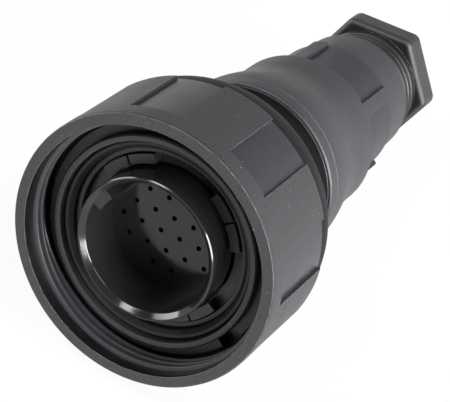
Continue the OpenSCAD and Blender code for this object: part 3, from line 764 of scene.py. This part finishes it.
class PLUG_OT_split_ring(Operator):
    """Turn the split ring and open it"""
    bl_idname = "plug.split_ring"
    bl_label = "Split ring"

    def execute(self, context):
        s = Sizes(context.scene.plug_body)
        edge = 0.2
        outer_r = s.split_d / 2
        inner_r = s.rim_d / 2 - s.groove + FIT
        front = s.rim_front + s.rim_l + FIT / 2
        rear = s.rim_front + s.rim_l + s.split_t
        piece = sector("split_ring_bow", [
            (inner_r, front), (outer_r - edge, front), (outer_r, front + edge), (outer_r, rear),
            (inner_r, rear),
        ], 360 - s.split_gap, s.split_turn + 180)
        dress(piece, finish("acetal"))
        soften(piece, width=0.1)
        lay(piece, BODY, "split_ring")
        return {"FINISHED"}


class PLUG_OT_mating_seal(Operator):
    """Turn the mating seal"""
    bl_idname = "plug.mating_seal"
    bl_label = "Mating seal"

    def execute(self, context):
        s = Sizes(context.scene.plug_body)
        crown = s.rim_front + s.seal_sink
        rear = crown + s.seal_l
        outer_r = s.rim_d / 2 - s.rim_wall - FIT
        inner_r = s.rim_d / 2 - s.rim_wall - s.seal_w
        piece = turned("mating_seal_ring", [
            (inner_r, rear), (inner_r, crown + s.seal_w / 2), (inner_r + s.seal_w / 2, crown),
            (inner_r + s.seal_w * 0.8, crown), (outer_r, crown + s.seal_w / 4), (outer_r, rear),
        ])
        dress(piece, finish("rubber"))
        soften(piece, width=0.2)
        lay(piece, BODY, "mating_seal")
        return {"FINISHED"}


class PLUG_OT_lock_ring(Operator):
    """Turn the carrier's lock ring and raise its dogs"""
    bl_idname = "plug.lock_ring"
    bl_label = "Lock ring"

    def execute(self, context):
        s = Sizes(context.scene.plug_body)
        edge = 0.1
        lock_rear = s.lock_front + s.lock_t
        outer_r = s.lock_d / 2
        piece = turned("carrier_lock_ring_shell", [
            (s.lock_bore / 2, s.lock_front), (outer_r - edge, s.lock_front),
            (outer_r, s.lock_front + edge), (outer_r, lock_rear), (s.lock_bore / 2, lock_rear),
        ])
        dog_r = outer_r - 0.2
        dog = box_points(dog_r - s.dog_t, dog_r, s.lock_front - s.dog_h, s.lock_front + s.lock_t / 2)
        turns = [s.dog_turn + 90 * k for k in range(4)]
        cut(piece, [sector("dog", dog, s.dog_angle, turn) for turn in turns], "UNION")
        slot_angle = math.degrees(s.dog_slot / outer_r)
        slot = box_points(s.lock_bore / 2 - PAST, outer_r + PAST, s.lock_front - s.dog_h - PAST,
                          s.lock_front - s.dog_h * 0.6)
        cut(piece, [sector("slot", slot, slot_angle, turn) for turn in turns])
        dress(piece, finish("lock"))
        soften(piece, width=0.1)
        lay(piece, BODY, "carrier_lock_ring")
        return {"FINISHED"}


def contact_places(pitch, row_turn):
    """Centres of the contacts across the axis: rows on a triangular grid, each centred."""
    rows = ((-8 / 3, 3), (-5 / 3, 4), (-2 / 3, 5), (1 / 3, 6), (4 / 3, 5), (7 / 3, 2))
    row_pitch = pitch * math.sqrt(3) / 2
    spin = math.radians(row_turn)
    places = []
    for row, count in rows:
        for k in range(count):
            x = (k - (count - 1) / 2) * pitch
            y = row * row_pitch
            places.append((x * math.cos(spin) - y * math.sin(spin), x * math.sin(spin) + y * math.cos(spin)))
    return places


class PLUG_OT_contact_carrier(Operator):
    """Turn the contact carrier, drill its contact bores and add the key"""
    bl_idname = "plug.contact_carrier"
    bl_label = "Contact carrier"

    def execute(self, context):
        s = Sizes(context.scene.plug_carrier)
        body = Sizes(context.scene.plug_body)
        tube_r = s.tube_d / 2
        bore_r = tube_r - s.tube_wall
        # The tube's rim has a broad bevel inside and a small one outside: radius, and distance from the front
        rim = [(bore_r, 1), (bore_r + 0.12, 0.7), (tube_r - 0.42, 0.06), (tube_r - 0.32, 0),
               (tube_r - 0.15, 0), (tube_r, 0.15)]
        flange_r = body.lock_d / 2 - FIT
        flange_front = body.lock_front + body.lock_t + FIT
        flange_rear = flange_front + s.flange_t
        back_r = s.back_d / 2
        seat_wall = 1.1
        seat_r = back_r - seat_wall
        retainer_front = s.back_at - s.retainer_t
        piece = turned("contact_carrier_shell", [
            (0, s.face_at), (bore_r, s.face_at), *[(radius, s.tube_front + sink) for radius, sink in rim],
            (tube_r, flange_front), (flange_r, flange_front), (flange_r, flange_rear),
            (back_r, flange_rear), (back_r, s.back_at), (seat_r, s.back_at), (seat_r, retainer_front),
            (0, retainer_front),
        ])
        places = contact_places(s.pitch, s.row_turn)
        cut(piece, [rod("pin_hole", s.hole_d / 2, s.face_at - PAST, s.face_at + s.face_web + PAST, at)
                    for at in places])
        cut(piece, [rod("bore", s.bore_d / 2, s.face_at + s.face_web, retainer_front + PAST, at)
                    for at in places])
        cut(piece, [rod("stop", s.stop_bore_d / 2, retainer_front - s.stop_l, retainer_front + PAST, at)
                    for at in places])
        key_root = 0.2
        key = box_points(bore_r - s.key_h, bore_r + s.tube_wall / 2, s.tube_front + s.key_sink,
                         s.face_at + key_root)
        cut(piece, [sector("key", key, s.key_angle, s.key_turn)], "UNION")
        dress(piece, finish("carrier"))
        soften(piece, width=0.08)
        lay(piece, BODY, "contact_carrier")
        return {"FINISHED"}


class PLUG_OT_back_shell(Operator):
    """Turn the back shell, sink the bays into its grip and bore it"""
    bl_idname = "plug.back_shell"
    bl_label = "Back shell"

    def execute(self, context):
        s = Sizes(context.scene.plug_shell)
        front_r = s.front_d / 2
        rear_r = s.rear_d / 2
        grip_r = s.grip_d / 2
        end_r = s.sleeve_rear_d / 2
        edge = 0.2
        flare = []
        steps = 28
        for k in range(steps + 1):
            t = k / steps
            ease = (1 + math.cos(math.pi * t)) / 2
            flare.append((rear_r + (front_r - rear_r) * ease, s.front_at + edge + (s.flare_l - edge) * t))
        # Rounded ends of the barrel, grip and sleeve, with a middle point in two of them
        barrel_round = 0.8
        barrel_middle = 0.25
        grip_round = 0.4
        sleeve_middle = s.sleeve_round * 0.3
        # Inside, the bore narrows by cones behind the spigot and in front of the web
        spigot_room = 0.5
        step_l = 5
        web_front = s.web_rear - s.web_t
        piece = turned("back_shell_hull", [
            (s.spigot_bore / 2, s.front_at), (front_r - edge, s.front_at), *flare,
            (rear_r, s.barrel_rear - barrel_round), (rear_r - barrel_middle, s.barrel_rear - barrel_middle),
            (rear_r - barrel_round, s.barrel_rear), (grip_r, s.barrel_rear),
            (grip_r, s.grip_rear - grip_round), (grip_r - grip_round, s.grip_rear),
            (s.sleeve_d / 2, s.grip_rear), (end_r, s.sleeve_rear - s.sleeve_round),
            (end_r - sleeve_middle, s.sleeve_rear - sleeve_middle),
            (end_r - s.sleeve_round, s.sleeve_rear), (s.gland_bore / 2, s.sleeve_rear),
            (s.gland_bore / 2, s.web_rear + s.cone_l), (s.wire_way / 2, s.web_rear),
            (s.wire_way / 2, web_front), (s.barrel_bore / 2, web_front - 1),
            (s.barrel_bore / 2, s.spigot_rear + step_l), (s.spigot_bore / 2, s.spigot_rear + spigot_room),
        ])
        bay = box_points(grip_r - s.bay_depth, grip_r + PAST, s.barrel_rear, s.grip_rear + PAST)
        cut(piece, [sector("bay", bay, s.bay_angle, s.bay_turn + k * 360 / s.bay_count)
                    for k in range(s.bay_count)])
        dress(piece, finish("shell"), finish("shell edge"))
        soften(piece, width=0.22)
        foot = 0.15
        patch(piece, finish("shell floor"),
              lambda r, z: abs(r - grip_r + s.bay_depth) < foot and s.barrel_rear < z < s.grip_rear)
        lay(piece, BODY, "back_shell")
        return {"FINISHED"}


def flat_up(piece):
    """The turn in degrees that brings a flat of a hex bar to the top."""
    corner = piece.data.vertices[0].co
    return 30 - math.degrees(math.atan2(corner.y, corner.x))


class PLUG_OT_gland_nut(Operator):
    """Shape the gland nut with its rounded hex, shank, bore and thread"""
    bl_idname = "plug.gland_nut"
    bl_label = "Gland nut"

    def execute(self, context):
        s = Sizes(context.scene.plug_gland)
        hex_rear = s.hex_front + s.hex_t
        reach = s.hex_af / 2 / math.cos(math.radians(30))
        piece = rod("gland_nut_shell", reach, s.hex_front, hex_rear, sides=6)
        activate(piece)
        piece.data.transform(Matrix.Rotation(math.radians(flat_up(piece)), 4, "Z"))
        edit(piece)
        bpy.ops.mesh.select_all(action="DESELECT")
        bpy.ops.object.mode_set(mode="OBJECT")
        for edge in piece.data.edges:
            a, b = (piece.data.vertices[k].co for k in edge.vertices)
            edge.select = abs(a.z - b.z) > s.hex_t / 2
        bpy.ops.object.mode_set(mode="EDIT")
        bpy.ops.mesh.bevel(offset=s.corner_r * math.tan(math.radians(30)), segments=8, affect="EDGES")
        bpy.ops.object.mode_set(mode="OBJECT")
        shank_r = s.thread_mean_d / 2
        lead_in = 0.5
        shank = turned("shank", [
            (0, s.shank_front), (shank_r - lead_in, s.shank_front), (shank_r, s.shank_front + lead_in),
            (shank_r, s.hex_front + PAST), (0, s.hex_front + PAST),
        ])
        cut(piece, [shank], "UNION")
        cut(piece, [rod("cable_entry", s.bore / 2, s.shank_front - PAST, hex_rear + PAST, sides=FULL_TURN)])
        dress(piece, finish("nut"), finish("nut edge"))
        soften(piece, width=0.25)
        # The front face of the hex and the shank take the near-black painted shade
        patch(piece, finish("nut face"), lambda r, z: z < s.hex_front + NEAR / 2)
        lay(piece, NUT_BODY, "gland_nut")
        front = s.shank_front + 2 * lead_in
        run_out = 0.3
        thread = thread_ridge("gland_thread", shank_r, shank_r + s.thread_rise, front,
                              s.hex_front - front - run_out, s.thread_pitch)
        # The gland nut's thread takes the same painted shade
        dress(thread, finish("nut face"))
        lay(thread, NUT_BODY)
        return {"FINISHED"}


class PLUG_OT_inner_pieces(Operator):
    """Finish the contacts, the retainer, the gland cage and the hidden seals as they are in the frame"""
    bl_idname = "plug.inner_pieces"
    bl_label = "Inner pieces"

    def execute(self, context):
        for name, node in frame["nodes"].items():
            if name in INNER_FINISHES:
                dress(node, finish(INNER_FINISHES[name]))
            elif name.startswith("contact_") and name != "contact_carrier":
                dress(node, finish("gold"))
        return {"FINISHED"}


def softbox(spot, width, height, watts):
    """A flat soft light that faces the plug."""
    deselect()
    facing = (Vector(LAMP_AIM) - Vector(spot)).to_track_quat("-Z", "Y").to_euler()
    bpy.ops.object.light_add(type="AREA", location=spot, rotation=facing)
    lamp = bpy.context.object.data
    lamp.shape = "RECTANGLE"
    lamp.size = width
    lamp.size_y = height
    lamp.energy = watts


class PLUG_OT_stage(Operator):
    """Set up the camera, the pale floor and the studio lights"""
    bl_idname = "plug.stage"
    bl_label = "Stage"

    def execute(self, context):
        scene = context.scene
        view = Sizes(scene.plug_view)
        turn = (Matrix.Rotation(math.radians(view.heading), 3, "Z")
                @ Matrix.Rotation(math.radians(90 - view.elevation), 3, "X")
                @ Matrix.Rotation(math.radians(view.roll), 3, "Z"))
        across = (MOUTH_PIXEL[0] - PICTURE_WIDTH / 2) / LENS_PIXELS * MOUTH_DEPTH
        down = (MOUTH_PIXEL[1] - PICTURE_HEIGHT / 2) / LENS_PIXELS * MOUTH_DEPTH
        spot = MOUTH - turn @ Vector((across, -down, -MOUTH_DEPTH))
        bpy.ops.object.camera_add(location=spot, rotation=turn.to_euler())
        camera = bpy.context.object
        camera.data.sensor_width = SENSOR_MM
        camera.data.lens = LENS_PIXELS / PICTURE_WIDTH * SENSOR_MM
        camera.data.clip_start = 0.01
        scene.camera = camera
        deselect()
        bpy.ops.mesh.primitive_plane_add(size=FLOOR_M, location=(0, 0, 0))
        floor = bpy.context.object
        floor.name = "floor"
        material, tree = start_material("matt white card")
        skin = add_node(tree, "ShaderNodeBsdfPrincipled",
                        {"Base Color": hex_to_linear(FLOOR_COLOUR), "Roughness": 0.9})
        glow = add_node(tree, "ShaderNodeEmission", {"Color": (1, 1, 1, 1), "Strength": 1.0})
        ray = add_node(tree, "ShaderNodeLightPath")
        seen = add_node(tree, "ShaderNodeMath", {"operation": "ADD", "use_clamp": True},
                        {0: ray.outputs["Is Camera Ray"], 1: ray.outputs["Is Glossy Ray"]})
        seen = add_node(tree, "ShaderNodeMath", {"operation": "ADD", "use_clamp": True},
                        {0: seen.outputs[0], 1: ray.outputs["Is Transmission Ray"]})
        share = add_node(tree, "ShaderNodeMath", {"operation": "MULTIPLY", 1: FLOOR_SHOWS_WHITE},
                         {0: seen.outputs[0]})
        card = add_node(tree, "ShaderNodeMixShader", None,
                        {"Fac": share.outputs[0], 1: skin.outputs["BSDF"], 2: glow.outputs["Emission"]})
        add_node(tree, "ShaderNodeOutputMaterial", None, {"Surface": card.outputs["Shader"]})
        dress(floor, material)
        world = bpy.data.worlds.new("studio")
        scene.world = world
        world.use_nodes = True
        tree = world.node_tree
        sky = tree.nodes["Background"]
        sky.inputs["Color"].default_value = (1, 1, 1, 1)
        way = add_node(tree, "ShaderNodeTexCoord")
        part = add_node(tree, "ShaderNodeSeparateXYZ", None, {"Vector": way.outputs["Generated"]})
        sweep = add_node(tree, "ShaderNodeMapRange",
                         {"From Min": SWEEP_TOP[0], "From Max": SWEEP_TOP[1], "To Min": 1.0,
                          "To Max": ROOM_LEVEL},
                         {"Value": part.outputs["Z"]})
        ray = add_node(tree, "ShaderNodeLightPath")
        seen = add_node(tree, "ShaderNodeMath", {"operation": "MAXIMUM"},
                        {0: ray.outputs["Is Glossy Ray"], 1: ray.outputs["Is Transmission Ray"]})
        level = add_node(tree, "ShaderNodeMix", {"A": ROOM_LEVEL},
                         {"Factor": seen.outputs[0], "B": sweep.outputs["Result"]})
        level = add_node(tree, "ShaderNodeMath", {"operation": "MAXIMUM"},
                         {0: level.outputs["Result"], 1: ray.outputs["Is Camera Ray"]})
        tree.links.new(level.outputs[0], sky.inputs["Strength"])
        for spot, width, height, watts in LAMPS.values():
            softbox(spot, width, height, watts)
        scene.view_settings.view_transform = "Standard"
        return {"FINISHED"}


class PLUG_PT_panel(Panel):
    """Lists the pieces of the plug"""
    bl_idname = "PLUG_PT_panel"
    bl_label = "Plug"
    bl_space_type = "VIEW_3D"
    bl_region_type = "UI"
    bl_category = "Plug"

    def draw(self, context):
        for step in STEPS:
            self.layout.operator(step.bl_idname)


STEPS = (
    PLUG_OT_stage, PLUG_OT_coupling_ring, PLUG_OT_front_body, PLUG_OT_split_ring, PLUG_OT_mating_seal,
    PLUG_OT_lock_ring, PLUG_OT_contact_carrier, PLUG_OT_back_shell, PLUG_OT_gland_nut,
    PLUG_OT_inner_pieces,
)
GROUPS = {
    "plug_ring": RingSizes, "plug_body": BodySizes, "plug_carrier": CarrierSizes,
    "plug_shell": ShellSizes, "plug_gland": GlandSizes, "plug_finish": Finish, "plug_view": View,
}


def register():
    for name, group in GROUPS.items():
        bpy.utils.register_class(group)
        setattr(bpy.types.Scene, name, PointerProperty(type=group))
    for step in STEPS:
        bpy.utils.register_class(step)
    bpy.utils.register_class(PLUG_PT_panel)


def unregister():
    bpy.utils.unregister_class(PLUG_PT_panel)
    for step in reversed(STEPS):
        bpy.utils.unregister_class(step)
    for name, group in reversed(GROUPS.items()):
        delattr(bpy.types.Scene, name)
        bpy.utils.unregister_class(group)


def main():
    register()
    for step in STEPS:
        group, action = step.bl_idname.split(".")
        getattr(getattr(bpy.ops, group), action)()


if __name__ == "__main__":
    main()
